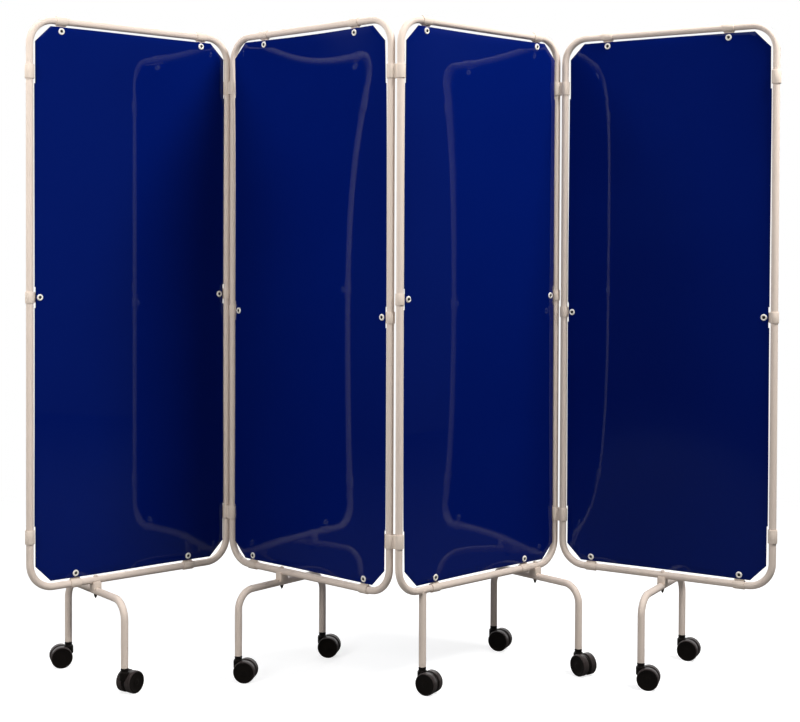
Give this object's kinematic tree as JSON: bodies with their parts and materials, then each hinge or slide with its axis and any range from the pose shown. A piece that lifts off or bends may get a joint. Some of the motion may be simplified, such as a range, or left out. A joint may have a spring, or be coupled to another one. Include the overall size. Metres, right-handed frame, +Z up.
{
  "type": "ward privacy screen on wheels",
  "caption": "Folding ward privacy screen: bent-tube panels with glossy blue sheets, joined by figure-eight links, on legs with twin-wheel casters.",
  "frame": {"origin": "on the floor, under the centre of the screen's bounding box as it stands in the picture", "axes": "+X to the right along the screen, +Y to the back away from the camera, +Z up"},
  "size_m": [1.8438, 0.474, 1.6536],
  "materials": {
    "cream_paint": "satin powder coat, cream",
    "cream_plastic": "smooth moulded plastic, cream",
    "blue_sheet": "high gloss, deep blue",
    "dark_steel": "blackened steel",
    "black_plastic": "satin moulded nylon, black",
    "black_tread": "smooth hard tread, black"
  },
  "bodies": {
    "panel_1": {"panel_1_frame": "cream_paint", "panel_1_sheet": "blue_sheet", "panel_1_leg": "cream_paint", "panel_1_leg_saddle": "cream_plastic", "panel_1_leg_bolt": "dark_steel", "end_collar_left_top": "cream_plastic", "end_collar_left_bottom": "cream_plastic"},
    "panel_2": {"panel_2_frame": "cream_paint", "panel_2_sheet": "blue_sheet", "panel_2_leg": "cream_paint", "panel_2_leg_saddle": "cream_plastic", "panel_2_leg_bolt": "dark_steel"},
    "panel_3": {"panel_3_frame": "cream_paint", "panel_3_sheet": "blue_sheet", "panel_3_leg": "cream_paint", "panel_3_leg_saddle": "cream_plastic", "panel_3_leg_bolt": "dark_steel", "panel_3_straight_leg": "cream_paint"},
    "panel_4": {"panel_4_frame": "cream_paint", "panel_4_sheet": "blue_sheet", "panel_4_leg": "cream_paint", "panel_4_leg_saddle": "cream_plastic", "panel_4_leg_bolt": "dark_steel", "end_collar_right_top": "cream_plastic", "end_collar_right_bottom": "cream_plastic"},
    "link_12": {"hinge_link_12_top": "cream_plastic", "hinge_link_12_bottom": "cream_plastic"},
    "link_23": {"hinge_link_23_top": "cream_plastic", "hinge_link_23_bottom": "cream_plastic"},
    "link_34": {"hinge_link_34_top": "cream_plastic", "hinge_link_34_bottom": "cream_plastic"},
    "caster_1_front": {"caster_1_front_housing": "black_plastic"},
    "caster_1_front_wheel_left": {"caster_1_front_wheel_left": "black_tread"},
    "caster_1_front_wheel_right": {"caster_1_front_wheel_right": "black_tread"},
    "caster_1_back": {"caster_1_back_housing": "black_plastic"},
    "caster_1_back_wheel_left": {"caster_1_back_wheel_left": "black_tread"},
    "caster_1_back_wheel_right": {"caster_1_back_wheel_right": "black_tread"},
    "caster_2_front": {"caster_2_front_housing": "black_plastic"},
    "caster_2_front_wheel_left": {"caster_2_front_wheel_left": "black_tread"},
    "caster_2_front_wheel_right": {"caster_2_front_wheel_right": "black_tread"},
    "caster_2_back": {"caster_2_back_housing": "black_plastic"},
    "caster_2_back_wheel_left": {"caster_2_back_wheel_left": "black_tread"},
    "caster_2_back_wheel_right": {"caster_2_back_wheel_right": "black_tread"},
    "caster_3_front": {"caster_3_front_housing": "black_plastic"},
    "caster_3_front_wheel_left": {"caster_3_front_wheel_left": "black_tread"},
    "caster_3_front_wheel_right": {"caster_3_front_wheel_right": "black_tread"},
    "caster_3_back": {"caster_3_back_housing": "black_plastic"},
    "caster_3_back_wheel_left": {"caster_3_back_wheel_left": "black_tread"},
    "caster_3_back_wheel_right": {"caster_3_back_wheel_right": "black_tread"},
    "caster_3_straight": {"caster_3_straight_housing": "black_plastic"},
    "caster_3_straight_wheel_left": {"caster_3_straight_wheel_left": "black_tread"},
    "caster_3_straight_wheel_right": {"caster_3_straight_wheel_right": "black_tread"},
    "caster_4_front": {"caster_4_front_housing": "black_plastic"},
    "caster_4_front_wheel_left": {"caster_4_front_wheel_left": "black_tread"},
    "caster_4_front_wheel_right": {"caster_4_front_wheel_right": "black_tread"},
    "caster_4_back": {"caster_4_back_housing": "black_plastic"},
    "caster_4_back_wheel_left": {"caster_4_back_wheel_left": "black_tread"},
    "caster_4_back_wheel_right": {"caster_4_back_wheel_right": "black_tread"}
  },
  "joints": [
    {"name": "panel_2_left_hinge", "type": "hinge", "parent": "panel_2", "child": "link_12", "pos_m": [-0.45646, 0.15442, 0.4], "axis": [0, 0, 1], "range_deg": [-3.4, 86.6]},
    {"name": "panel_1_right_hinge", "type": "hinge", "parent": "link_12", "child": "panel_1", "pos_m": [-0.47537, 0.1692, 0.4], "axis": [0, 0, 1], "range_deg": [-77.4, 12.6]},
    {"name": "panel_2_right_hinge", "type": "hinge", "parent": "panel_2", "child": "link_23", "pos_m": [-0.03414, -0.2179, 0.4], "axis": [0, 0, 1], "range_deg": [-23, 67]},
    {"name": "panel_3_left_hinge", "type": "hinge", "parent": "link_23", "child": "panel_3", "pos_m": [-0.01137, -0.22547, 0.4], "axis": [0, 0, 1], "range_deg": [-60.8, 29.2]},
    {"name": "panel_3_right_hinge", "type": "hinge", "parent": "panel_3", "child": "link_34", "pos_m": [0.40438, 0.15416, 0.4], "axis": [0, 0, -1], "range_deg": [-70.4, 19.6]},
    {"name": "panel_4_left_hinge", "type": "hinge", "parent": "link_34", "child": "panel_4", "pos_m": [0.42557, 0.14289, 0.4], "axis": [0, 0, -1], "range_deg": [-2.55, 87.45]},
    {"name": "caster_1_front_swivel", "type": "hinge", "parent": "panel_1", "child": "caster_1_front", "pos_m": [-0.67878, -0.19239, 0.07], "axis": [0, 0, 1], "continuous": true},
    {"name": "caster_1_front_wheel_left_roll", "type": "hinge", "parent": "caster_1_front", "child": "caster_1_front_wheel_left", "pos_m": [-0.67976, -0.16911, 0.0275], "axis": [-0.8387, 0.5446, 0], "continuous": true},
    {"name": "caster_1_front_wheel_right_roll", "type": "hinge", "parent": "caster_1_front", "child": "caster_1_front_wheel_right", "pos_m": [-0.65712, -0.18381, 0.0275], "axis": [-0.8387, 0.5446, 0], "continuous": true},
    {"name": "caster_1_back_swivel", "type": "hinge", "parent": "panel_1", "child": "caster_1_back", "pos_m": [-0.86959, 0.03989, 0.07], "axis": [0, 0, 1], "continuous": true},
    {"name": "caster_1_back_wheel_left_roll", "type": "hinge", "parent": "caster_1_back", "child": "caster_1_back_wheel_left", "pos_m": [-0.88272, 0.02064, 0.0275], "axis": [0.3469, -0.9379, 0], "continuous": true},
    {"name": "caster_1_back_wheel_right_roll", "type": "hinge", "parent": "caster_1_back", "child": "caster_1_back_wheel_right", "pos_m": [-0.89209, 0.04596, 0.0275], "axis": [0.3469, -0.9379, 0], "continuous": true},
    {"name": "caster_2_front_swivel", "type": "hinge", "parent": "panel_2", "child": "caster_2_front", "pos_m": [-0.41371, -0.08364, 0.07], "axis": [0, 0, 1], "continuous": true},
    {"name": "caster_2_front_wheel_left_roll", "type": "hinge", "parent": "caster_2_front", "child": "caster_2_front_wheel_left", "pos_m": [-0.39283, -0.07328, 0.0275], "axis": [0.1564, 0.9877, 0], "continuous": true},
    {"name": "caster_2_front_wheel_right_roll", "type": "hinge", "parent": "caster_2_front", "child": "caster_2_front_wheel_right", "pos_m": [-0.39705, -0.09994, 0.0275], "axis": [0.1564, 0.9877, 0], "continuous": true},
    {"name": "caster_2_back_swivel", "type": "hinge", "parent": "panel_2", "child": "caster_2_back", "pos_m": [-0.21491, 0.14185, 0.07], "axis": [0, 0, 1], "continuous": true},
    {"name": "caster_2_back_wheel_left_roll", "type": "hinge", "parent": "caster_2_back", "child": "caster_2_back_wheel_left", "pos_m": [-0.19386, 0.15184, 0.0275], "axis": [0.1736, 0.9848, 0], "continuous": true},
    {"name": "caster_2_back_wheel_right_roll", "type": "hinge", "parent": "caster_2_back", "child": "caster_2_back_wheel_right", "pos_m": [-0.19855, 0.12525, 0.0275], "axis": [0.1736, 0.9848, 0], "continuous": true},
    {"name": "caster_3_front_swivel", "type": "hinge", "parent": "panel_3", "child": "caster_3_front", "pos_m": [0.45012, -0.0076, 0.07], "axis": [0, 0, 1], "continuous": true},
    {"name": "caster_3_front_wheel_left_roll", "type": "hinge", "parent": "caster_3_front", "child": "caster_3_front_wheel_left", "pos_m": [0.47221, -0.01504, 0.0275], "axis": [0.809, 0.5878, 0], "continuous": true},
    {"name": "caster_3_front_wheel_right_roll", "type": "hinge", "parent": "caster_3_front", "child": "caster_3_front_wheel_right", "pos_m": [0.45037, -0.03091, 0.0275], "axis": [0.809, 0.5878, 0], "continuous": true},
    {"name": "caster_3_back_swivel", "type": "hinge", "parent": "panel_3", "child": "caster_3_back", "pos_m": [0.24743, 0.21438, 0.07], "axis": [0, 0, 1], "continuous": true},
    {"name": "caster_3_back_wheel_left_roll", "type": "hinge", "parent": "caster_3_back", "child": "caster_3_back_wheel_left", "pos_m": [0.27027, 0.21898, 0.0275], "axis": [0.4067, 0.9135, 0], "continuous": true},
    {"name": "caster_3_back_wheel_right_roll", "type": "hinge", "parent": "caster_3_back", "child": "caster_3_back_wheel_right", "pos_m": [0.25929, 0.19432, 0.0275], "axis": [0.4067, 0.9135, 0], "continuous": true},
    {"name": "caster_3_straight_swivel", "type": "hinge", "parent": "panel_3", "child": "caster_3_straight", "pos_m": [0.04726, -0.17193, 0.07], "axis": [0, 0, 1], "continuous": true},
    {"name": "caster_3_straight_wheel_left_roll", "type": "hinge", "parent": "caster_3_straight", "child": "caster_3_straight_wheel_left", "pos_m": [0.0705, -0.17014, 0.0275], "axis": [0.515, 0.8572, 0], "continuous": true},
    {"name": "caster_3_straight_wheel_right_roll", "type": "hinge", "parent": "caster_3_straight", "child": "caster_3_straight_wheel_right", "pos_m": [0.0566, -0.19329, 0.0275], "axis": [0.515, 0.8572, 0], "continuous": true},
    {"name": "caster_4_front_swivel", "type": "hinge", "parent": "panel_4", "child": "caster_4_front", "pos_m": [0.59031, -0.12886, 0.07], "axis": [0, 0, 1], "continuous": true},
    {"name": "caster_4_front_wheel_left_roll", "type": "hinge", "parent": "caster_4_front", "child": "caster_4_front_wheel_left", "pos_m": [0.61242, -0.12151, 0.0275], "axis": [0.2924, 0.9563, 0], "continuous": true},
    {"name": "caster_4_front_wheel_right_roll", "type": "hinge", "parent": "caster_4_front", "child": "caster_4_front_wheel_right", "pos_m": [0.60453, -0.14733, 0.0275], "axis": [0.2924, 0.9563, 0], "continuous": true},
    {"name": "caster_4_back_swivel", "type": "hinge", "parent": "panel_4", "child": "caster_4_back", "pos_m": [0.7431, 0.13001, 0.07], "axis": [0, 0, 1], "continuous": true},
    {"name": "caster_4_back_wheel_left_roll", "type": "hinge", "parent": "caster_4_back", "child": "caster_4_back_wheel_left", "pos_m": [0.76609, 0.13381, 0.0275], "axis": [0.4384, 0.8988, 0], "continuous": true},
    {"name": "caster_4_back_wheel_right_roll", "type": "hinge", "parent": "caster_4_back", "child": "caster_4_back_wheel_right", "pos_m": [0.75426, 0.10955, 0.0275], "axis": [0.4384, 0.8988, 0], "continuous": true}
  ]
}
